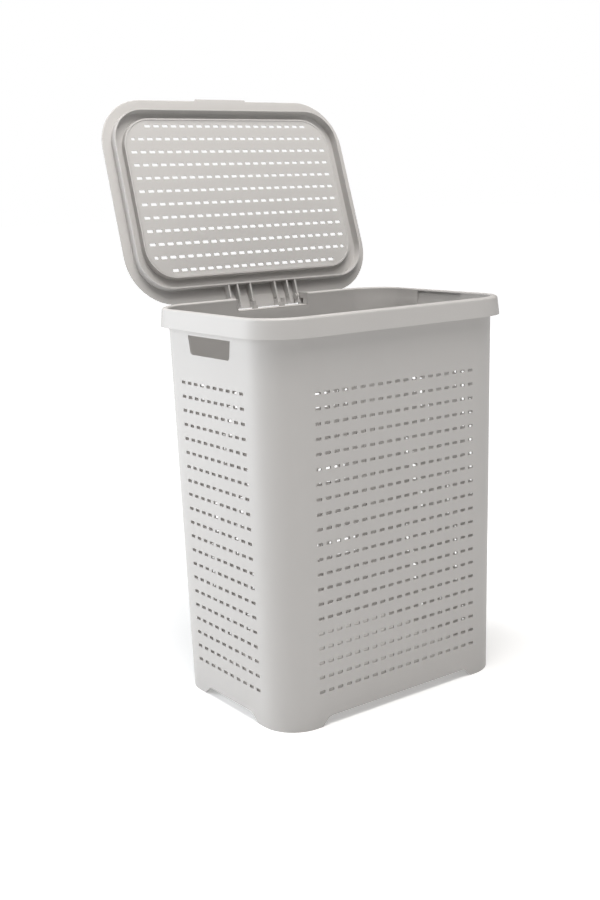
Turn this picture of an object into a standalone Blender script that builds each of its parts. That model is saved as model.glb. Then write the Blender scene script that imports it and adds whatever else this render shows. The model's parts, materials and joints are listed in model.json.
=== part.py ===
"""Laundry hamper with a hinged lid, shown open: a tapered basket on four corner feet with a
turned-down rim, and a flat lid that turns on two pins behind the rear edge of the rim.

Metres, +Z up, front at -Y. The origin is on the floor, under the middle of the open hamper.
The basket and the lid are each modelled in simple zones that lie 0.3 mm apart."""

from math import cos, pi, radians, sin

import bmesh
import bpy
from mathutils import Matrix, Vector

# Driving dimensions
BASKET_Y = -0.0604  # middle of the basket, in front of the origin because the lid leans back
WALL = 0.0025
GAP = 0.0003
CORNER_STEPS = 8

FLOOR_HALF = Vector((0.2016, 0.1370))  # outside of the wall at the feet
MOUTH_HALF = Vector((0.2162, 0.1512))  # where the straight wall would reach the rim's top
FLOOR_RADIUS = 0.0525
MOUTH_RADIUS = 0.0595
HEIGHT = 0.5700
MOUTH_INNER = Vector((0.2163, 0.1492))  # the wall flares out behind the band to clear the lid's rib
MOUTH_INNER_RADIUS = 0.0580
FLARE_TOP = 0.5540  # the flare ends here, below the rib, and the wall stands straight above it

ARCH_HEIGHT = 0.0125
FRONT_ARCH = (0.1400, 0.1270)  # half lengths, at the floor and at the arch's top
SIDE_ARCH = (0.0700, 0.0550)
ARCH_ROUND = 0.005
BASE_BOTTOM = 0.0135
BASE_TOP = 0.0165

HAND_HOLE = (0.0549, 0.0504)  # half widths, at the top and at the bottom
HAND_HOLE_Z = (0.5073, 0.5348)
HAND_HOLE_ROUND = 0.005

RIM_HALF = Vector((0.2255, 0.1655))  # outside of the band's lower edge
RIM_RADIUS = 0.0695
RIM_BAND_BOTTOM = 0.5426
RIM_FLARE = 0.0023
RIM_ROUND = 0.005
RIM_STEPS = 3
RIM_TOP_THICK = 0.0030

HINGE_Y = 0.1750  # axis of the lid's pins, from the middle of the basket
HINGE_Z = 0.5635
LID_OPEN = radians(107.35)
NOTCH_HALF = 0.0665
NOTCH_FLOOR = 0.5510
BRACKET_FRONT = 0.1490  # just outside the circle that the lid's rib swings through
EAR_THICK = 0.0030
EAR_RADIUS = 0.0063
SHELF_THICK = 0.0024
SHELF_BACK = 0.1703
STOP_Y = (0.1600, 0.1661)
STOP_X = (0.0221, 0.0256)  # in front of the foot of a middle fin when the lid is open
STOP_TOP = 0.5572
LUG_X = (0.0256, 0.0297)  # beside the fin
LUG_TOP = 0.5640
EAR_SLOT_Y = (0.1603, 0.1671)
EAR_SLOT_Z = (0.5522, 0.5608)
PIN_RADIUS = 0.0030
PIN_HEAD = (0.0045, 0.0015)  # radius and thickness
PIN_END = 0.0010  # past the ear

LID_HALF = Vector((0.2310, 0.1670))
LID_RADIUS = 0.0800
LID_BACK_SHIFT = 0.0030  # the lid reaches further past the rim at the back than at the front
LID_UNDER = 0.5703
FLANGE_THICK = 0.0030
CROWN_TOP = 0.5748
CROWN_THICK = 0.0028
CROWN_BEVEL = 0.0010
RIB_HALF = Vector((0.2152, 0.1463))
RIB_RADIUS = 0.0570
RIB_BACK_SHIFT = 0.0015
RIB_BOTTOM = 0.5578
PANEL_HALF = Vector((0.1945, 0.1272))
PANEL_RADIUS = 0.0475
PANEL_RIM = 0.0030  # width of the border round the panel
PANEL_UNDER = 0.5628
PANEL_THICK = 0.0025
TAB_HALF = 0.0470
TAB_DEPTH = 0.0030
TAB_ROOT = 0.0100  # how far the tab reaches back into the flange

TONGUE_HALF = 0.0655
TONGUE_BACK = 0.0090  # past the axis
FIN_BACK = 0.0110
FIN_THICK = 0.0030
FIN_BOTTOM = 0.5582
PLATE_UNDER = 0.0010  # the plate is this much thicker than the flange, on its underside
FIN_X = (0.0236, 0.0478, 0.0640)


def collection(name):
    made = bpy.data.collections.new(name)
    bpy.context.scene.collection.children.link(made)
    return made


for old in list(bpy.data.objects):
    bpy.data.objects.remove(old, do_unlink=True)
PARTS = collection("laundry_hamper")
CUTTERS = collection("cutters")


def plastic(name, colour, roughness):
    material = bpy.data.materials.new(name)
    material.use_nodes = True
    shader = material.node_tree.nodes["Principled BSDF"]
    shader.inputs["Base Color"].default_value = (*colour, 1)
    shader.inputs["Roughness"].default_value = roughness
    shader.inputs["Metallic"].default_value = 0
    return material


def add_object(name, bm, into=PARTS):
    bmesh.ops.remove_doubles(bm, verts=bm.verts, dist=1e-6)
    bmesh.ops.recalc_face_normals(bm, faces=bm.faces)
    mesh = bpy.data.meshes.new(name)
    bm.to_mesh(mesh)
    bm.free()
    made = bpy.data.objects.new(name, mesh)
    into.objects.link(made)
    if into == CUTTERS:
        made.hide_render = True
        made.display_type = "WIRE"
    else:
        mesh.shade_smooth()
        mesh.set_sharp_from_angle(angle=radians(35))
    return made


def outline(half, radius, z, shift=0.0):
    """Corners of a rounded rectangle, anticlockwise from +X."""
    points = []
    for corner, (sx, sy) in enumerate(((1, 1), (-1, 1), (-1, -1), (1, -1))):
        middle = Vector((sx * (half.x - radius), sy * (half.y - radius) + shift, z))
        for step in range(CORNER_STEPS + 1):
            turn = (corner + step / CORNER_STEPS) * pi / 2
            points.append(middle + radius * Vector((cos(turn), sin(turn), 0)))
    return points


def loft(bm, sections, closed):
    """Quads between each rounded-rectangle section and the next, and back to the first if closed."""
    loops = [[bm.verts.new(point) for point in outline(*section)] for section in sections]
    following = loops[1:] + loops[:1] if closed else loops[1:]
    for one, other in zip(loops, following):
        for i in range(len(one)):
            bm.faces.new((one[i - 1], one[i], other[i], other[i - 1]))
    return loops


def ring(name, sections):
    """A closed hoop, lofted once round its cross-section."""
    bm = bmesh.new()
    loft(bm, sections, closed=True)
    return add_object(name, bm)


def plate(name, half, radius, bottom, top):
    bm = bmesh.new()
    for loop in loft(bm, [(half, radius, bottom), (half, radius, top)], closed=False):
        bm.faces.new(loop)
    return add_object(name, bm)


def block(bm, low, high):
    low, high = Vector(low), Vector(high)
    place = Matrix.Translation((low + high) / 2) @ Matrix.Diagonal((*(high - low), 1))
    return bmesh.ops.create_cube(bm, size=1, matrix=place)["verts"]


def rod(bm, radius, x_from, x_to, y, z, segments=24):
    place = Matrix.Translation(((x_from + x_to) / 2, y, z)) @ Matrix.Rotation(pi / 2, 4, "Y")
    bmesh.ops.create_cone(
        bm,
        cap_ends=True,
        segments=segments,
        radius1=radius,
        radius2=radius,
        depth=abs(x_to - x_from),
        matrix=place,
    )


def box_object(name, low, high, into=PARTS):
    bm = bmesh.new()
    block(bm, low, high)
    return add_object(name, bm, into)


def rod_object(name, radius, x_from, x_to, y, z, into=CUTTERS):
    bm = bmesh.new()
    rod(bm, radius, x_from, x_to, y, z)
    return add_object(name, bm, into)


def boolean(target, other, operation):
    modifier = target.modifiers.new(f"{operation.lower()} {other.name}", "BOOLEAN")
    modifier.operation = operation
    modifier.object = other


def tapered_cutter(name, long_axis, z_low, z_high, half_low, half_high, rounded):
    """A bar across the basket whose section is a trapezium with two rounded corners."""
    reach = 0.3
    bm = bmesh.new()
    across = 1 - long_axis
    size = [0, 0, z_high - z_low]
    size[long_axis] = 2
    size[across] = 2 * reach
    place = Matrix.Translation((0, 0, (z_low + z_high) / 2)) @ Matrix.Diagonal((*size, 1))
    bmesh.ops.create_cube(bm, size=1, matrix=place)
    for vert in bm.verts:
        vert.co[long_axis] *= half_high if vert.co.z > (z_low + z_high) / 2 else half_low
    narrow_z = z_high if half_high < half_low else z_low
    edges = [
        edge
        for edge in bm.edges
        if all(abs(vert.co.z - narrow_z) < 1e-6 for vert in edge.verts)
        and abs(edge.verts[0].co[across] - edge.verts[1].co[across]) > reach
    ]
    bmesh.ops.bevel(
        bm, geom=edges, offset=rounded, segments=4, profile=0.5, affect="EDGES", material=-1
    )
    return add_object(name, bm, CUTTERS)


def notch_cutter(name, bottom):
    """Clears the back of the rim for the hinge bracket, from a height upwards."""
    half = NOTCH_HALF + EAR_THICK + GAP
    return box_object(name, (-half, HINGE_Y - 0.07, bottom), (half, HINGE_Y + 0.03, HEIGHT + 0.01), CUTTERS)


def outside_at(z):
    """Half size and corner radius of the wall's outside at a height."""
    part = z / HEIGHT
    return FLOOR_HALF.lerp(MOUTH_HALF, part), FLOOR_RADIUS + part * (MOUTH_RADIUS - FLOOR_RADIUS)


def inset(half, radius, by):
    return half - Vector((by, by)), radius - by


def mouth(by):
    return inset(MOUTH_INNER, MOUTH_INNER_RADIUS, by)


BASKET = bpy.data.objects.new("basket_frame", None)
BASKET.location = (0, BASKET_Y, 0)
LID = bpy.data.objects.new("lid_hinge_axis", None)
LID.location = (0, HINGE_Y, HINGE_Z)
LID.rotation_euler = (-LID_OPEN, 0, 0)
LID.parent = BASKET
PARTS.objects.link(BASKET)
PARTS.objects.link(LID)
TO_LID = Matrix.Translation((0, -HINGE_Y, -HINGE_Z))


def finish(made, parent, material):
    """Parents a piece drawn in the basket's own frame, with a lid piece drawn shut."""
    if parent == LID:
        made.data.transform(TO_LID)
    made.parent = parent
    made.data.materials.append(material)


def basket_walls(material):
    """A tapered tube that stands on its four corners, between low arches."""
    top = HEIGHT - RIM_TOP_THICK - GAP
    outer = [(*outside_at(z), z) for z in (0, RIM_BAND_BOTTOM)]
    outer += [(*mouth(-WALL), z) for z in (FLARE_TOP, top)]
    inner = [(*mouth(0), z) for z in (top, FLARE_TOP)]
    inner += [(*inset(*outside_at(z), WALL), z) for z in (RIM_BAND_BOTTOM, 0)]
    walls = ring("basket_walls", outer + inner)
    cutters = [
        tapered_cutter("front_arch", 0, -ARCH_HEIGHT, ARCH_HEIGHT, 2 * FRONT_ARCH[0] - FRONT_ARCH[1],
                       FRONT_ARCH[1], ARCH_ROUND),
        tapered_cutter("side_arch", 1, -ARCH_HEIGHT, ARCH_HEIGHT, 2 * SIDE_ARCH[0] - SIDE_ARCH[1],
                       SIDE_ARCH[1], ARCH_ROUND),
        tapered_cutter("hand_holes", 1, *HAND_HOLE_Z, HAND_HOLE[1], HAND_HOLE[0], HAND_HOLE_ROUND),
        notch_cutter("wall_notch", NOTCH_FLOOR - SHELF_THICK - GAP),
    ]
    for cutter in cutters:
        cutter.parent = BASKET
        boolean(walls, cutter, "DIFFERENCE")
    finish(walls, BASKET, material)


def basket_base(material):
    half, radius = inset(*outside_at(BASE_BOTTOM), WALL + GAP)
    finish(plate("basket_base", half, radius, BASE_BOTTOM, BASE_TOP), BASKET, material)


def basket_rim(material):
    """The top flange and the band that hangs from its outer edge, flared towards the bottom."""
    upper, upper_radius = inset(RIM_HALF, RIM_RADIUS, RIM_FLARE)
    sections = [(*mouth(0), HEIGHT)]
    for step in range(RIM_STEPS + 1):
        turn = step / RIM_STEPS * pi / 2
        by = RIM_ROUND * (1 - sin(turn))
        sections.append((*inset(upper, upper_radius, by), HEIGHT - RIM_ROUND * (1 - cos(turn))))
    under = HEIGHT - RIM_TOP_THICK
    sections += [
        (RIM_HALF, RIM_RADIUS, RIM_BAND_BOTTOM),
        (*inset(RIM_HALF, RIM_RADIUS, WALL), RIM_BAND_BOTTOM),
        (*inset(upper, upper_radius, WALL), under),
        (*mouth(0), under),
    ]
    rim = ring("basket_rim", sections)
    notch = notch_cutter("rim_notch", RIM_BAND_BOTTOM - 0.01)
    notch.parent = BASKET
    boolean(rim, notch, "DIFFERENCE")
    finish(rim, BASKET, material)


def hinge_bracket(material):
    """Two ears with the pins' holes, the shelf between them, and two stops that hold the open lid."""
    shelf_bottom = NOTCH_FLOOR - SHELF_THICK
    ear_out = NOTCH_HALF + EAR_THICK
    bracket = box_object("hinge_bracket", (-ear_out, BRACKET_FRONT, shelf_bottom),
                         (ear_out, SHELF_BACK, NOTCH_FLOOR))
    additions, holes = [], []
    for side, name in ((-1, "left"), (1, "right")):
        ear_x, stop_x, lug_x = (
            sorted((side * low, side * high))
            for low, high in ((NOTCH_HALF, ear_out), STOP_X, LUG_X)
        )
        additions += [
            box_object(f"ear_{name}", (ear_x[0], BRACKET_FRONT, shelf_bottom),
                       (ear_x[1], HINGE_Y, HINGE_Z + EAR_RADIUS), CUTTERS),
            rod_object(f"ear_end_{name}", EAR_RADIUS, *ear_x, HINGE_Y, HINGE_Z),
            box_object(f"stop_{name}", (stop_x[0], STOP_Y[0], shelf_bottom),
                       (stop_x[1], STOP_Y[1], STOP_TOP), CUTTERS),
            box_object(f"lug_{name}", (lug_x[0], STOP_Y[0], shelf_bottom),
                       (lug_x[1], STOP_Y[1], LUG_TOP), CUTTERS),
        ]
        holes += [
            rod_object(f"ear_hole_{name}", PIN_RADIUS + GAP, *ear_x, HINGE_Y, HINGE_Z),
            box_object(f"ear_slot_{name}", (ear_x[0] - GAP, EAR_SLOT_Y[0], EAR_SLOT_Z[0]),
                       (ear_x[1] + GAP, EAR_SLOT_Y[1], EAR_SLOT_Z[1]), CUTTERS),
        ]
    for shapes, operation in ((additions, "UNION"), (holes, "DIFFERENCE")):
        for shape in shapes:
            shape.parent = BASKET
            boolean(bracket, shape, operation)
    finish(bracket, BASKET, material)


def lid_frame(material):
    """The lid's border: flange, slightly raised crown, the panel's rim, and the rib that locates it."""
    flange_edge = [
        (*inset(LID_HALF, LID_RADIUS, by * FLANGE_THICK / 2), LID_UNDER + up * FLANGE_THICK / 2, LID_BACK_SHIFT)
        for by, up in ((1, 0), (0, 1), (1, 2))
    ]
    rib_top = (*inset(RIB_HALF, RIB_RADIUS, CROWN_BEVEL), CROWN_TOP, RIB_BACK_SHIFT)
    rib_outer = [(RIB_HALF, RIB_RADIUS, z, RIB_BACK_SHIFT)
                 for z in (LID_UNDER + FLANGE_THICK, RIB_BOTTOM, LID_UNDER)]
    rib_inner = [(*inset(RIB_HALF, RIB_RADIUS, WALL), z, RIB_BACK_SHIFT)
                 for z in (CROWN_TOP - CROWN_THICK, RIB_BOTTOM)]
    wall_outer = inset(PANEL_HALF, PANEL_RADIUS, -PANEL_RIM)
    wall_inner = inset(PANEL_HALF, PANEL_RADIUS, -GAP)
    frame = ring("lid_frame", flange_edge + [
        rib_outer[0],
        rib_top,
        (*inset(*wall_inner, -CROWN_BEVEL), CROWN_TOP),
        (*wall_inner, CROWN_TOP - CROWN_BEVEL),
        (*wall_inner, PANEL_UNDER),
        (*wall_outer, PANEL_UNDER),
        (*wall_outer, CROWN_TOP - CROWN_THICK),
        *rib_inner,
        *rib_outer[1:],
    ])
    front = LID_BACK_SHIFT - LID_HALF.y
    tab = box_object("finger_tab", (-TAB_HALF, front - TAB_DEPTH, LID_UNDER),
                     (TAB_HALF, front + TAB_ROOT, LID_UNDER + FLANGE_THICK), CUTTERS)
    tab.data.transform(TO_LID)
    tab.parent = LID
    boolean(frame, tab, "UNION")
    finish(frame, LID, material)


def lid_panel(material):
    panel = plate("lid_panel", PANEL_HALF, PANEL_RADIUS, PANEL_UNDER, PANEL_UNDER + PANEL_THICK)
    finish(panel, LID, material)


def hinge_tongue(material):
    """The plate that carries the flange on past the axis, and the six fins below it."""
    plate_front = LID_BACK_SHIFT + LID_HALF.y + GAP
    fin_front = RIB_BACK_SHIFT + RIB_HALF.y + GAP
    fin_top = LID_UNDER - GAP
    tongue = box_object("hinge_tongue", (-TONGUE_HALF, plate_front, fin_top - PLATE_UNDER),
                        (TONGUE_HALF, HINGE_Y + TONGUE_BACK, LID_UNDER + FLANGE_THICK))
    shapes = []
    for number, x in enumerate([side * x for x in FIN_X for side in (-1, 1)]):
        low = (x - FIN_THICK / 2, fin_front, FIN_BOTTOM)
        high = (x + FIN_THICK / 2, HINGE_Y + FIN_BACK, fin_top)
        shapes.append((box_object(f"fin_{number}", low, high, CUTTERS), "UNION"))
    holes = rod_object("fin_holes", PIN_RADIUS + GAP, -TONGUE_HALF - GAP, TONGUE_HALF + GAP, HINGE_Y, HINGE_Z)
    for shape, operation in shapes + [(holes, "DIFFERENCE")]:
        shape.data.transform(TO_LID)
        shape.parent = LID
        boolean(tongue, shape, operation)
    finish(tongue, LID, material)


def hinge_pins(material):
    """A short headed pin at each end, through the outer fin and into the ear."""
    head_radius, head_thick = PIN_HEAD
    inside = FIN_X[-1] - FIN_THICK / 2 - GAP
    tip = NOTCH_HALF + EAR_THICK + PIN_END
    for side, name in ((-1, "left"), (1, "right")):
        pin = rod_object(f"hinge_pin_{name}", PIN_RADIUS, side * (inside - head_thick / 2), side * tip,
                         HINGE_Y, HINGE_Z, PARTS)
        head = rod_object(f"pin_head_{name}", head_radius, side * (inside - head_thick), side * inside,
                          HINGE_Y, HINGE_Z)
        head.data.transform(TO_LID)
        head.parent = LID
        boolean(pin, head, "UNION")
        finish(pin, LID, material)


moulded = plastic("warm grey polypropylene", (0.62, 0.60, 0.58), 0.45)
basket_walls(moulded)
basket_base(moulded)
basket_rim(moulded)
hinge_bracket(moulded)
lid_frame(moulded)
lid_panel(moulded)
hinge_tongue(moulded)
hinge_pins(moulded)
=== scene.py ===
import json
from math import cos, pi, radians, sin

import bmesh
import bpy
from mathutils import Matrix, Vector


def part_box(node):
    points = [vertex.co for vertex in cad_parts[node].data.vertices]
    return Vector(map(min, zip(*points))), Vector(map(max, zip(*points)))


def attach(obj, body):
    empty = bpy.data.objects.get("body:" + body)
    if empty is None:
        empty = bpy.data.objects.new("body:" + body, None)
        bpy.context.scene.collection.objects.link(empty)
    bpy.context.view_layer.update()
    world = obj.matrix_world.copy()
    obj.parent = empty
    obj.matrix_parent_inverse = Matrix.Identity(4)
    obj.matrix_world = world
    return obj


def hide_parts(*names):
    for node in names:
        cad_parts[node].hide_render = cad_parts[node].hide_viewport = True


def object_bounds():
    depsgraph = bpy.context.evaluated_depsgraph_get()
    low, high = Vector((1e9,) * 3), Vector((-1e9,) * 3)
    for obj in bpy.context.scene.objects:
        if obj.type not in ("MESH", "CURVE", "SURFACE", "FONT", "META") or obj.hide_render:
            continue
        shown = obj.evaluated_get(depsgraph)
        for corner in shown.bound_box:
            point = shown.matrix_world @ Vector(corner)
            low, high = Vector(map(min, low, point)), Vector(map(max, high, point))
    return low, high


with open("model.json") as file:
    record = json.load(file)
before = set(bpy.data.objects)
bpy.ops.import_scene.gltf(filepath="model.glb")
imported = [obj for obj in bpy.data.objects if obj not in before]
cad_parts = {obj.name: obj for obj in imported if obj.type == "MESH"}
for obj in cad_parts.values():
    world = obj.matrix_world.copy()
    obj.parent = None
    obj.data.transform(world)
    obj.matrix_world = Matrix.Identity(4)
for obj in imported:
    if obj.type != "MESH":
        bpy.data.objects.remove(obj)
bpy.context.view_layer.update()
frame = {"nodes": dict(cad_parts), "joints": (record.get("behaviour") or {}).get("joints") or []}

# The basket: one injection moulding in warm grey polypropylene, a tapered bin whose wall turns
# outwards at the mouth into a flat rim with a band hanging from it. Rows of small slots pierce the
# walls, two hand holes serve as grips, and low arches between the corners leave it on four feet.
WALL = 0.0025
walls_low, walls_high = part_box("basket_walls")
rim_low, rim_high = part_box("basket_rim")
MIDDLE = Vector(((walls_low.x + walls_high.x) / 2, (walls_low.y + walls_high.y) / 2, 0))
MOUTH_Z = rim_high.z
BAND_BOTTOM = rim_low.z
FLOOR_HALF = Vector((0.2016, 0.1370))  # outside of the wall at the floor
WALL_TOP_HALF = Vector((0.2162, 0.1512))  # where the straight wall would reach the rim's top
FLOOR_RADIUS, WALL_TOP_RADIUS = 0.0525, 0.0595
MOUTH_HALF, MOUTH_RADIUS = Vector((0.2163, 0.1492)), 0.0580
FLARE_TOP = 0.5540  # the wall flares out behind the band up to here, and then stands straight
BAND_HALF = Vector(((rim_high.x - rim_low.x) / 2, 0.1655))
BAND_RADIUS, BAND_FLARE = 0.0695, 0.0023
RIM_OUTER_ROUND, RIM_INNER_ROUND = 0.0040, 0.0026
CORNER_STEPS = 12

SLOT_HIGH, SLOT_EASED = 0.0045, 0.0009
TOP_ROW, ROW_PITCH, ROW_COUNT = 0.4650, 0.02075, 21
SLOT_ROWS = [TOP_ROW - ROW_PITCH * row for row in range(ROW_COUNT)]
FRONT_SLOTS = {"count": 19, "pitch": 0.0155, "long": 0.0095}
SIDE_SLOTS = {"count": 10, "pitch": 0.0167, "long": 0.0100}


def slot_edges(count, pitch, long):
    """Both ends of every slot in a row, from one side to the other."""
    centres = [(number - (count - 1) / 2) * pitch for number in range(count)]
    return [centre + end * long / 2 for centre in centres for end in (-1, 1)]


def stations(side_edges, front_edges):
    """Places round a rounded rectangle, anticlockwise and back to the first: a distance along each
    side, starting at +X, and then an angle round the corner that follows it."""
    places = []
    for side in range(4):
        places += [(side, along, None) for along in (side_edges, front_edges)[side % 2]]
        places += [(side, None, step / CORNER_STEPS * pi / 2) for step in range(CORNER_STEPS + 1)]
    return places + places[:1]


def on_section(place, half, radius, z, shift=0.0):
    side, along, turn = place
    out, reach = half[side % 2], half[1 - side % 2]
    if turn is None:
        point = Vector((out, along, z))
    else:
        point = Vector((out - radius + radius * cos(turn), reach - radius + radius * sin(turn), z))
    return Matrix.Rotation(side * pi / 2, 3, "Z") @ point + Vector((0, shift, 0))


def wrapped_sheet(places, sections, slot_long=()):
    """A sheet that runs round every section in turn. A face as long and as high as a slot is marked
    with material 1, for pierce() to open."""
    bm = bmesh.new()
    across, up = len(places) - 1, len(sections) - 1
    bmesh.ops.create_grid(bm, x_segments=across, y_segments=up, size=0.5)
    for face in bm.faces:
        centre = face.calc_center_median()
        column, row = int((centre.x + 0.5) * across), int((centre.y + 0.5) * up)
        (side, start, _), (end_side, end, _) = places[column], places[column + 1]
        long = end - start if side == end_side and None not in (start, end) else 0
        high = abs(sections[row][2] - sections[row + 1][2])
        if any(abs(long - value) < 1e-6 for value in slot_long) and abs(high - SLOT_HIGH) < 1e-6:
            face.material_index = 1
    for vert in bm.verts:
        place = places[round((vert.co.x + 0.5) * across)]
        vert.co = on_section(place, *sections[round((vert.co.y + 0.5) * up)])
    bmesh.ops.remove_doubles(bm, verts=bm.verts, dist=1e-6)
    return bm


def pierce(bm, slot_area):
    """Opens the marked faces as slots with eased corners. The bevel marks the small corner faces too,
    and their size tells them from the openings."""
    corners = {vert for face in bm.faces if face.material_index for vert in face.verts}
    bmesh.ops.bevel(bm, geom=list(corners), offset=SLOT_EASED, segments=1, profile=0.5,
                    affect="VERTICES", material=-1)
    marked = [face for face in bm.faces if face.material_index]
    openings = [face for face in marked if face.calc_area() > slot_area / 2]
    for face in marked:
        face.material_index = 0
    bmesh.ops.delete(bm, geom=openings, context="FACES_ONLY")


def new_piece(name, bm):
    mesh = bpy.data.meshes.new(name)
    bm.to_mesh(mesh)
    bm.free()
    piece = bpy.data.objects.new(name, mesh)
    bpy.context.scene.collection.objects.link(piece)
    return piece


def apply_modifiers(piece):
    seen = piece.evaluated_get(bpy.context.evaluated_depsgraph_get())
    worked = bpy.data.meshes.new_from_object(seen)
    piece.modifiers.clear()
    piece.data, worked.name = worked, piece.name


def combine(piece, meshes, operation):
    """Joins the other shapes to the piece, or cuts them out of it."""
    others = [new_piece(f"shape_{number}", bm) for number, bm in enumerate(meshes)]
    for other in others:
        modifier = piece.modifiers.new(operation.lower(), "BOOLEAN")
        modifier.operation, modifier.object = operation, other
    apply_modifiers(piece)
    for other in others:
        bpy.data.objects.remove(other)


def box(low, high):
    bm = bmesh.new()
    low, high = Vector(low), Vector(high)
    place = Matrix.Translation((low + high) / 2) @ Matrix.Diagonal((*(high - low), 1))
    bmesh.ops.create_cube(bm, size=1, matrix=place)
    return bm


def rod(radius, x_from, x_to):
    """A round bar on the lid's hinge axis."""
    bm = bmesh.new()
    middle = Vector(((x_from + x_to) / 2, AXIS.y, AXIS.z))
    place = Matrix.Translation(middle) @ Matrix.Rotation(pi / 2, 4, "Y")
    bmesh.ops.create_cone(bm, cap_ends=True, segments=32, radius1=radius, radius2=radius,
                          depth=abs(x_to - x_from), matrix=place)
    return bm


def bar(along, z_low, z_high, half_low, half_high, rounded):
    """A cutter right across the basket whose section is a trapezium with its narrow end rounded."""
    reach = 0.3  # past both sides of the basket
    bm = box((-reach, -reach, z_low), (reach, reach, z_high))
    halves = {z_low: half_low, z_high: half_high}
    narrow = z_low if half_low < half_high else z_high
    for vert in bm.verts:
        level = min(halves, key=lambda z: abs(vert.co.z - z))
        vert.co[along] *= halves[level] / reach
    long_edges = [
        edge
        for edge in bm.edges
        if all(abs(vert.co.z - narrow) < 1e-6 for vert in edge.verts)
        and abs(edge.verts[0].co[1 - along] - edge.verts[1].co[1 - along]) > reach
    ]
    bmesh.ops.bevel(bm, geom=long_edges, offset=rounded, segments=5, profile=0.5,
                    affect="EDGES", material=-1)
    return bm


def wall_section(z, by=0.0):
    """The wall's outside at a height, or a section that far inside it."""
    part = z / MOUTH_Z
    half = FLOOR_HALF.lerp(WALL_TOP_HALF, part) - Vector((by, by))
    return half, FLOOR_RADIUS + part * (WALL_TOP_RADIUS - FLOOR_RADIUS) - by, z


def shrunk(half, radius, by):
    return half - Vector((by, by)), radius - by


def quarter(steps):
    """Sine and 1 - cosine of even turns through a right angle, for a rounded edge."""
    turns = [step / steps * pi / 2 for step in range(steps + 1)]
    return [(sin(turn), 1 - cos(turn)) for turn in turns]


def basket_skin():
    """Sections down the moulding's show side: the band upwards, the flat rim, and the inner wall."""
    upper = shrunk(BAND_HALF, BAND_RADIUS, BAND_FLARE)
    sections = [(BAND_HALF, BAND_RADIUS, BAND_BOTTOM)]
    for sine, rest in quarter(5):
        by = RIM_OUTER_ROUND * rest
        sections.append((*shrunk(*upper, by), MOUTH_Z - RIM_OUTER_ROUND * (1 - sine)))
    for sine, rest in quarter(4):
        by = RIM_INNER_ROUND * (sine - 1)
        sections.append((*shrunk(MOUTH_HALF, MOUTH_RADIUS, by), MOUTH_Z - RIM_INNER_ROUND * rest))
    levels = [centre + end * SLOT_HIGH / 2 for centre in SLOT_ROWS for end in (1, -1)]
    sections.append((MOUTH_HALF, MOUTH_RADIUS, FLARE_TOP))
    return sections + [wall_section(z, WALL) for z in [BAND_BOTTOM] + levels + [0]]


def thicken(piece, thickness):
    """Gives a sheet its thickness, on the side away from its show face."""
    modifier = piece.modifiers.new("thickness", "SOLIDIFY")
    modifier.thickness, modifier.offset, modifier.use_even_offset = thickness, -1, True
    apply_modifiers(piece)


def basket_shell():
    places = stations(slot_edges(**SIDE_SLOTS), slot_edges(**FRONT_SLOTS))
    longs = (FRONT_SLOTS["long"], SIDE_SLOTS["long"])
    bm = wrapped_sheet(places, basket_skin(), longs)
    pierce(bm, min(longs) * SLOT_HIGH)
    shell = new_piece("basket", bm)
    thicken(shell, WALL)
    for vert in shell.data.vertices:
        vert.co.z = max(vert.co.z, 0)
    return shell


ARCH_HIGH, ARCH_ROUND = 0.0125, 0.0050
FRONT_ARCH, SIDE_ARCH = (0.1400, 0.1270), (0.0700, 0.0550)  # half lengths, at the floor and the top
HAND_HOLE, HAND_HOLE_Z = (0.0504, 0.0549), (0.5073, 0.5348)
HAND_HOLE_ROUND = 0.0050
bracket_low, bracket_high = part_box("hinge_bracket")
AXIS = Vector(frame["joints"][0]["pos_m"]) - MIDDLE
EAR_OUT, EAR_END = bracket_high.x, 0.0063
EAR_IN = EAR_OUT - 0.0030
SHELF = (bracket_low.z, bracket_low.z + 0.0024)
SHELF_BACK = 0.1703
INNER_FACE = bracket_low.y - MIDDLE.y
PIN_HOLE, PIN_REACH = 0.0033, 0.1000
STOP_Y, STOP_X, STOP_TOP = (0.1600, 0.1661), (0.0221, 0.0260), 0.5572
LUG_X, LUG_TOP = (0.0256, 0.0297), 0.5640
EAR_SLOT_Y, EAR_SLOT_Z, EAR_SLOT_DEEP = (0.1603, 0.1671), (0.5522, 0.5608), 0.0110
SOCKET_WALL = 0.0015
BASE_Z = (0.0135, 0.0165)
GRIP_HALF, GRIP_Z, GRIP_DEEP = 0.0500, (0.4900, 0.5668), 0.0016
OVERLAP = 0.0010  # how far a joined shape reaches into its neighbour


def mirrored(low, high):
    """The same box on both sides of the middle plane."""
    return [box(low, high), box((-high[0], *low[1:]), (-low[0], *high[1:]))]


def rounded_plate(half, radius, z_low, z_high):
    bm = bmesh.new()
    bmesh.ops.create_grid(bm, x_segments=1, y_segments=1, size=1)
    bmesh.ops.scale(bm, vec=(*half, 1), verts=bm.verts)
    bmesh.ops.translate(bm, vec=(0, 0, z_low), verts=bm.verts)
    bmesh.ops.bevel(bm, geom=bm.verts[:], offset=radius, segments=CORNER_STEPS, profile=0.5,
                    affect="VERTICES", material=-1)
    top = bmesh.ops.extrude_face_region(bm, geom=bm.faces[:])["geom"]
    rising = [item for item in top if isinstance(item, bmesh.types.BMVert)]
    bmesh.ops.translate(bm, vec=(0, 0, z_high - z_low), verts=rising)
    bmesh.ops.recalc_face_normals(bm, faces=bm.faces)
    return bm


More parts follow.
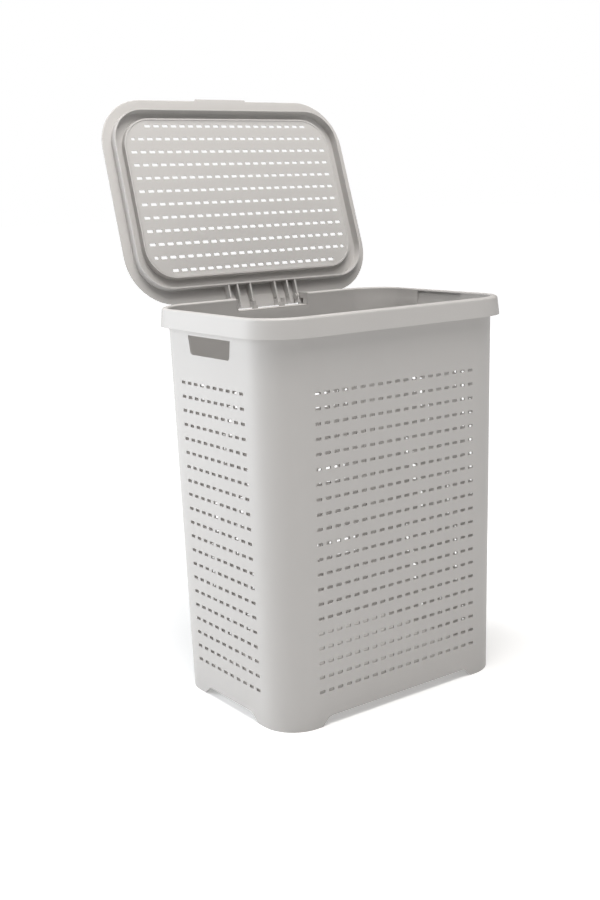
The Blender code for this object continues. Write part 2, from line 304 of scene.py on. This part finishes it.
def grip_recess():
    """Cuts a shallow recess behind each hand hole, which follows the wall's inside up to the rim."""
    bm = box((-1, -GRIP_HALF, GRIP_Z[0]), (1, GRIP_HALF, GRIP_Z[1]))
    for z in (BAND_BOTTOM, FLARE_TOP):
        bmesh.ops.bisect_plane(bm, geom=bm.verts[:] + bm.edges[:] + bm.faces[:], dist=1e-7,
                               plane_co=(0, 0, z), plane_no=(0, 0, 1))
    for vert in bm.verts:
        straight = vert.co.z > FLARE_TOP - 1e-6
        vert.co.x *= (MOUTH_HALF if straight else wall_section(vert.co.z, WALL)[0]).x + GRIP_DEEP
    return bm


def bracket_pieces():
    """The hinge shelf, its two ears with a socket behind each slot, and the stops for the open lid."""
    shapes = [box((-EAR_OUT, INNER_FACE, SHELF[0]), (EAR_OUT, SHELF_BACK, SHELF[1]))]
    shapes += mirrored((EAR_IN, INNER_FACE, SHELF[0]), (EAR_OUT, AXIS.y, AXIS.z + EAR_END))
    shapes += mirrored((STOP_X[0], STOP_Y[0], SHELF[0]), (STOP_X[1], STOP_Y[1], STOP_TOP))
    shapes += mirrored((LUG_X[0], STOP_Y[0], SHELF[0]), (LUG_X[1], STOP_Y[1], LUG_TOP))
    shapes += mirrored((EAR_OUT - OVERLAP, EAR_SLOT_Y[0] - SOCKET_WALL, EAR_SLOT_Z[0] - SOCKET_WALL),
                       (EAR_IN + EAR_SLOT_DEEP + SOCKET_WALL, EAR_SLOT_Y[1] + SOCKET_WALL,
                        EAR_SLOT_Z[1] + SOCKET_WALL))
    return shapes + [rod(EAR_END, side * EAR_IN, side * EAR_OUT) for side in (-1, 1)]


def bracket_notch():
    """Clears the wall and then the band for the bracket: the wall down to the shelf, and the band
    down past its lower edge."""
    behind_wall, past = SHELF_BACK - 0.0160, 0.0100
    above = MOUTH_Z + past
    return [
        box((-EAR_OUT, AXIS.y - 0.0800, SHELF[0]), (EAR_OUT, behind_wall + OVERLAP, above)),
        box((-EAR_OUT, behind_wall, BAND_BOTTOM - past), (EAR_OUT, AXIS.y, above)),
    ]


basket = basket_shell()
base_half, base_radius, _ = wall_section(BASE_Z[0], WALL - OVERLAP)
combine(basket, [grip_recess()] + bracket_notch(), "DIFFERENCE")
combine(basket, [rounded_plate(base_half, base_radius, *BASE_Z)] + bracket_pieces(), "UNION")
combine(basket, [
    bar(0, -ARCH_HIGH, ARCH_HIGH, 2 * FRONT_ARCH[0] - FRONT_ARCH[1], FRONT_ARCH[1], ARCH_ROUND),
    bar(1, -ARCH_HIGH, ARCH_HIGH, 2 * SIDE_ARCH[0] - SIDE_ARCH[1], SIDE_ARCH[1], ARCH_ROUND),
    bar(1, *HAND_HOLE_Z, *HAND_HOLE, HAND_HOLE_ROUND),
    rod(PIN_HOLE, -PIN_REACH, PIN_REACH),
    *mirrored((EAR_IN - OVERLAP, EAR_SLOT_Y[0], EAR_SLOT_Z[0]),
              (EAR_IN + EAR_SLOT_DEEP, EAR_SLOT_Y[1], EAR_SLOT_Z[1])),
], "DIFFERENCE")


class Value:
    """A node's output. Arithmetic on it adds Math nodes, and node() adds any other node."""

    def __init__(self, tree, socket=None):
        self.tree, self.socket = tree, socket

    def node(self, kind, settings, sockets, output=0):
        made = self.tree.nodes.new(kind)
        for name, setting in settings.items():
            setattr(made, name, setting)
        for name, value in sockets.items():
            if isinstance(value, Value):
                self.tree.links.new(value.socket, made.inputs[name])
            else:
                made.inputs[name].default_value = value
        return Value(self.tree, made.outputs[output])

    def math(self, operation, first, second):
        return self.node("ShaderNodeMath", {"operation": operation}, {0: first, 1: second})

    def __add__(self, other):
        return self.math("ADD", self, other)

    def __mul__(self, other):
        return self.math("MULTIPLY", self, other)

    __radd__, __rmul__ = __add__, __mul__


def polypropylene(name, colour, roughness):
    """Moulded plastic: a fine spark-eroded grain, faint flow marks, and a satin finish that varies
    a little from patch to patch."""
    material = bpy.data.materials.new(name)
    material.use_nodes = True
    tree = material.node_tree
    shader = tree.nodes["Principled BSDF"]
    place = Value(tree).node("ShaderNodeTexCoord", {}, {}, output=3)

    def noise(scale, detail, stretch=(1, 1, 1)):
        mapped = place.node("ShaderNodeMapping", {}, {"Vector": place, "Scale": stretch})
        return mapped.node("ShaderNodeTexNoise", {}, {"Vector": mapped, "Scale": scale, "Detail": detail})

    grain = noise(1300, 2)
    coarse_grain = noise(420, 3)
    flow = noise(11, 4, stretch=(1, 1, 0.35))
    patches = noise(38, 3)
    tone = flow * 0.6 + patches * 0.4
    dark, light = ([channel * shade for channel in colour] for shade in (0.965, 1.03))
    mixed = tone.node("ShaderNodeMix", {"data_type": "RGBA"},
                      {"Factor": tone, 6: (*dark, 1), 7: (*light, 1)}, output=2)
    patch_gloss, grain_gloss = 0.07, 0.05
    gloss = patches * patch_gloss + grain * grain_gloss + (roughness - (patch_gloss + grain_gloss) / 2)
    height = grain * 0.6 + coarse_grain * 0.4
    bumped = height.node("ShaderNodeBump", {}, {"Strength": 0.10, "Distance": 0.0004, "Height": height})
    for name, value in (("Base Color", mixed), ("Roughness", gloss), ("Normal", bumped)):
        tree.links.new(value.socket, shader.inputs[name])
    shader.inputs["Specular IOR Level"].default_value = 0.45
    return material


def finish_moulding(piece, body, material, nodes):
    """Smooths the round edges, keeps the sharp ones, and puts the piece in the CAD nodes' place."""
    piece.data.shade_smooth()
    piece.data.set_sharp_from_angle(angle=radians(32))
    weighted = piece.modifiers.new("flat faces stay flat", "WEIGHTED_NORMAL")
    weighted.keep_sharp = True
    piece.data.materials.clear()
    piece.data.materials.append(material)
    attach(piece, body)
    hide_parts(*nodes)


basket.data.transform(Matrix.Translation(MIDDLE))
basket_plastic = polypropylene("basket_polypropylene", (0.462, 0.449, 0.436), 0.46)
finish_moulding(basket, "basket", basket_plastic,
                ("basket_walls", "basket_base", "basket_rim", "hinge_bracket"))


# The lid: one moulding in the same plastic, drawn shut here and then turned open. Its flange rests
# on the rim, a rib below it drops inside the mouth, and a sunk panel with rows of slots fills the
# middle. A finger tab stands out at the front, and a plate with six fins reaches back to the pins.
LID_OPEN = radians(107.35)
LID_BACK_SHIFT = 0.0030  # the flange reaches further out at the back
LID_HALF, LID_RADIUS = Vector((0.2310, 0.1670)), 0.0800
FLANGE_Z, FLANGE_THICK = 0.5703, 0.0030
CROWN_Z, CROWN_THICK, CROWN_BEVEL = 0.5748, 0.0028, 0.0010
RIB_HALF, RIB_RADIUS, RIB_Z = Vector((0.2152, 0.1463)), 0.0570, 0.5578
RIB_BACK_SHIFT = 0.0015
PANEL_HALF, PANEL_RADIUS = Vector((0.1945, 0.1272)), 0.0475
PANEL_Z, PANEL_THICK = 0.5628, 0.0025
LIP_PROUD, LIP_WIDE = 0.0006, 0.0030  # the rim round the panel, which stands a little below it
EDGE_ROUND = 0.0006
TAB_HALF, TAB_DEEP, TAB_ROOT, TAB_SLOPE = 0.0478, 0.0030, 0.0060, 0.0020

LID_SLOT = (0.0110, 0.0050)
LID_PITCH = (0.0158, 0.02136)
LID_COLUMNS = [(column - 11.5) * LID_PITCH[0] for column in range(24)]
LID_ROWS = [(row - 5.5) * LID_PITCH[1] for row in range(12)]
SHORTENED = LID_COLUMNS[-1] + 0.0015  # where the end slots of the second and last but one rows stop


def softened(bm, offset):
    """Rounds every sharp edge a little, as a mould does."""
    sharp = [edge for edge in bm.edges if edge.is_manifold and edge.calc_face_angle() > radians(40)]
    bmesh.ops.bevel(bm, geom=sharp, offset=offset, segments=2, profile=0.5,
                    affect="EDGES", material=-1)
    return bm


def lid_border():
    """The ring round the panel: flange, crown, the panel's rim and the rib, as one closed section."""
    def rib(by, z):
        return *shrunk(RIB_HALF, RIB_RADIUS, by), z, RIB_BACK_SHIFT

    def panel(by, z):
        return *shrunk(PANEL_HALF, PANEL_RADIUS, by), z

    round_edge, channel = FLANGE_THICK / 2, CROWN_Z - CROWN_THICK
    sections = []
    for turn in [radians(angle) for angle in range(-90, 91, 30)]:
        by, up = round_edge * (1 - cos(turn)), round_edge * sin(turn)
        sections.append((*shrunk(LID_HALF, LID_RADIUS, by), FLANGE_Z + round_edge + up, LID_BACK_SHIFT))
    sections += [
        rib(0, FLANGE_Z + FLANGE_THICK),
        rib(CROWN_BEVEL, CROWN_Z),
        panel(-CROWN_BEVEL, CROWN_Z),
        panel(0, CROWN_Z - CROWN_BEVEL),
        panel(0, PANEL_Z + PANEL_THICK),
        panel(OVERLAP, PANEL_Z + PANEL_THICK),
        panel(OVERLAP, PANEL_Z),
        panel(0, PANEL_Z),
        panel(0, PANEL_Z - LIP_PROUD),
        panel(-LIP_WIDE, PANEL_Z - LIP_PROUD),
        panel(-LIP_WIDE, channel),
        rib(WALL, channel),
        rib(WALL, RIB_Z),
        rib(0, RIB_Z),
        rib(0, FLANGE_Z),
    ]
    bm = wrapped_sheet(stations([], []), sections + sections[:1])
    bmesh.ops.recalc_face_normals(bm, faces=bm.faces)
    return softened(bm, EDGE_ROUND)


def lid_slot_ends(row):
    """Both ends of every slot in a row. The rounded corners leave the first and last row four slots
    short, and cut the end slots of the rows next to them."""
    distance = min(row, len(LID_ROWS) - 1 - row)
    columns = LID_COLUMNS[2:-2] if distance == 0 else LID_COLUMNS
    ends = [[centre - LID_SLOT[0] / 2, centre + LID_SLOT[0] / 2] for centre in columns]
    if distance == 1:
        ends[0][0], ends[-1][1] = -SHORTENED, SHORTENED
    return ends


def lid_panel():
    """A flat grid with a line along every slot edge, cut to the panel's rounded outline."""
    xs = sorted({x for centre in LID_COLUMNS for x in
                 (centre - LID_SLOT[0] / 2, centre + LID_SLOT[0] / 2)}
                | {-SHORTENED, SHORTENED, -PANEL_HALF.x, PANEL_HALF.x})
    ys = sorted({y + end * LID_SLOT[1] / 2 for y in LID_ROWS for end in (-1, 1)}
                | {-PANEL_HALF.y, PANEL_HALF.y})
    bm = bmesh.new()
    across, up = len(xs) - 1, len(ys) - 1
    bmesh.ops.create_grid(bm, x_segments=across, y_segments=up, size=0.5)
    for vert in bm.verts:
        column, row = round((vert.co.x + 0.5) * across), round((vert.co.y + 0.5) * up)
        vert.co = (xs[column], ys[row], PANEL_Z)
    for face in bm.faces:
        centre = face.calc_center_median()
        row = min(range(len(LID_ROWS)), key=lambda number: abs(LID_ROWS[number] - centre.y))
        in_row = abs(LID_ROWS[row] - centre.y) < LID_SLOT[1] / 2
        if in_row and any(low < centre.x < high for low, high in lid_slot_ends(row)):
            face.material_index = 1
    for x in (-SHORTENED, SHORTENED):
        needless = [edge for edge in bm.edges if all(abs(vert.co.x - x) < 1e-6 for vert in edge.verts)
                    and len({face.material_index for face in edge.link_faces}) == 1]
        bmesh.ops.dissolve_edges(bm, edges=needless, use_verts=True)
    corners = [place for place in stations([], []) if place[2] is not None]
    for place in corners:
        facing = Matrix.Rotation(place[0] * pi / 2, 3, "Z") @ Vector((cos(place[2]), sin(place[2]), 0))
        touched = on_section(place, PANEL_HALF, PANEL_RADIUS, PANEL_Z)
        bmesh.ops.bisect_plane(bm, geom=bm.verts[:] + bm.edges[:] + bm.faces[:], dist=1e-7,
                               plane_co=touched, plane_no=facing, clear_outer=True)
    pierce(bm, LID_SLOT[0] * LID_SLOT[1] / 2)
    bmesh.ops.reverse_faces(bm, faces=bm.faces)
    return bm


TONGUE_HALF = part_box("hinge_tongue")[1].x
TONGUE_BACK, TONGUE_ROOT, TONGUE_UNDER = 0.0105, 0.0040, 0.0013
FIN_BACK, FIN_THICK, FIN_BOTTOM = 0.0110, 0.0030, 0.5582
FIN_X = (0.0236, 0.0478, 0.0640)
TAB_SOFT, FIN_SOFT, BOSS_PROUD = 0.0010, 0.0004, 0.0002


def lid_fittings():
    """The finger tab, the plate that carries the flange past the axis, and the six fins below it."""
    front = LID_BACK_SHIFT - LID_HALF.y
    back = LID_BACK_SHIFT + LID_HALF.y
    flange_top = FLANGE_Z + FLANGE_THICK
    tab = box((-TAB_HALF, front - TAB_DEEP, FLANGE_Z), (TAB_HALF, front + TAB_ROOT, flange_top))
    for vert in tab.verts:
        if vert.co.y > front:
            vert.co.x *= 1 + TAB_SLOPE * (TAB_ROOT + TAB_DEEP) / TAB_DEEP / TAB_HALF
    plate = box((-TONGUE_HALF, back - TONGUE_ROOT, FLANGE_Z - TONGUE_UNDER),
                (TONGUE_HALF, AXIS.y + TONGUE_BACK, flange_top))
    shapes = [softened(tab, TAB_SOFT), softened(plate, EDGE_ROUND)]
    for x in FIN_X:
        low = (x - FIN_THICK / 2, RIB_HALF.y, FIN_BOTTOM)
        high = (x + FIN_THICK / 2, AXIS.y + FIN_BACK, FLANGE_Z + OVERLAP)
        shapes += [softened(bm, FIN_SOFT) for bm in mirrored(low, high)]
    boss_half = FIN_THICK / 2 + BOSS_PROUD
    ends = (FIN_X[-1] - boss_half, FIN_X[-1] + boss_half)
    return shapes + [rod(EAR_END, side * ends[0], side * ends[1]) for side in (-1, 1)]


def lid_panel_solid():
    sheet = new_piece("panel", lid_panel())
    thicken(sheet, PANEL_THICK)
    bm = bmesh.new()
    bm.from_mesh(sheet.data)
    bpy.data.objects.remove(sheet)
    return bm


lid = new_piece("lid", lid_border())
combine(lid, [lid_panel_solid()] + lid_fittings(), "UNION")
combine(lid, [rod(PIN_HOLE, -PIN_REACH, PIN_REACH)], "DIFFERENCE")
OPENED = Matrix.Translation(AXIS) @ Matrix.Rotation(-LID_OPEN, 4, "X") @ Matrix.Translation(-AXIS)
lid.data.transform(Matrix.Translation(MIDDLE) @ OPENED)
lid_plastic = polypropylene("lid_polypropylene", (0.462, 0.449, 0.436), 0.44)
finish_moulding(lid, "lid", lid_plastic, ("lid_frame", "lid_panel", "hinge_tongue"))

# The hinge pins: two short headed pins in the same plastic, pushed through the lid's outer fins
# into the holes of the ears. They keep the frame's own shapes.
pin_plastic = polypropylene("pin_polypropylene", (0.45, 0.437, 0.424), 0.40)
for node in ("hinge_pin_left", "hinge_pin_right"):
    frame["nodes"][node].data.materials.clear()
    frame["nodes"][node].data.materials.append(pin_plastic)

# The studio: a seamless white floor under a white sky, with a large soft box overhead, a weak one
# high in front and one at the back left, so that the left side is the brightest.
lowest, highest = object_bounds()
centre = (lowest + highest) / 2


def studio_floor():
    """White paper that glows, a painted light: weakly near the hamper, where the glow lights the hamper
    from below, and more strongly far away, beyond the soft boxes' reach, so that it stays white.
    """
    bm = bmesh.new()
    bmesh.ops.create_grid(bm, x_segments=1, y_segments=1, size=30)
    floor = new_piece("studio_floor", bm)
    material = bpy.data.materials.new("glowing_studio_paper")
    material.use_nodes = True
    shader = material.node_tree.nodes["Principled BSDF"]
    place = Value(material.node_tree).node("ShaderNodeTexCoord", {}, {}, output=3)
    fibres = place.node("ShaderNodeTexNoise", {}, {"Vector": place, "Scale": 900.0})
    tint = fibres.node("ShaderNodeMix", {"data_type": "RGBA"},
                       {"Factor": fibres, 6: (0.93, 0.93, 0.93, 1), 7: (0.96, 0.96, 0.96, 1)}, output=2)
    # Painted light: the floor's emission rises from 0.25 near the hamper to full strength three metres
    # out.
    distance = place.node("ShaderNodeVectorMath", {"operation": "LENGTH"}, {"Vector": place}, output=1)
    glow = distance.node("ShaderNodeMapRange", {},
                         {"Value": distance, "From Min": 1.0, "From Max": 3.0, "To Min": 0.25})
    for name, value in (("Base Color", tint), ("Emission Color", glow)):
        material.node_tree.links.new(value.socket, shader.inputs[name])
    shader.inputs["Emission Strength"].default_value = 1.0
    shader.inputs["Roughness"].default_value = 0.9
    floor.data.materials.append(material)


def soft_box(name, place, size, power, colour):
    """A square area light that faces the hamper."""
    data = bpy.data.lights.new(name, "AREA")
    data.shape, data.size, data.energy, data.color = "SQUARE", size, power, colour
    light = bpy.data.objects.new(name, data)
    light.location = place
    light.rotation_euler = (centre - light.location).to_track_quat("-Z", "Y").to_euler()
    bpy.context.scene.collection.objects.link(light)


def white_room(fill):
    """A world that is white where it is seen, and lights the hamper more weakly."""
    world = bpy.data.worlds.new("white_room")
    world.use_nodes = True
    seen = Value(world.node_tree).node("ShaderNodeLightPath", {}, {}, output=0)
    background = world.node_tree.nodes["Background"]
    background.inputs["Color"].default_value = (1, 1, 1, 1)
    world.node_tree.links.new((seen * (1 - fill) + fill).socket, background.inputs["Strength"])
    bpy.context.scene.world = world


studio_floor()
soft_box("overhead", centre + Vector((-0.2, -0.3, 2.4)), 1.6, 70, (1, 0.985, 0.968))
soft_box("front_high", centre + Vector((-0.25, -1.25, 2.15)), 1.4, 25, (1, 0.98, 0.96))
soft_box("back_left", centre + Vector((-2.0, 1.7, 0.7)), 2.2, 70, (0.93, 0.965, 1))
white_room(0.03)
bpy.context.scene.view_settings.view_transform = "Standard"

# The camera stands at the front left, a little above the mouth, and looks down slightly.
camera = bpy.data.objects.new("camera", bpy.data.cameras.new("camera"))
camera.location = MIDDLE + Vector((-1.1060, -1.4463, 0.7340))
TURN, LOOK_DOWN, ROLL = radians(-35.97), radians(5.35), radians(-1.87)
camera.matrix_world = (Matrix.Translation(camera.location) @ Matrix.Rotation(TURN, 4, "Z")
                       @ Matrix.Rotation(pi / 2 - LOOK_DOWN, 4, "X") @ Matrix.Rotation(ROLL, 4, "Z"))
camera.data.lens, camera.data.sensor_width = 49.17, 36
camera.data.shift_y = -0.16
bpy.context.scene.collection.objects.link(camera)
bpy.context.scene.camera = camera
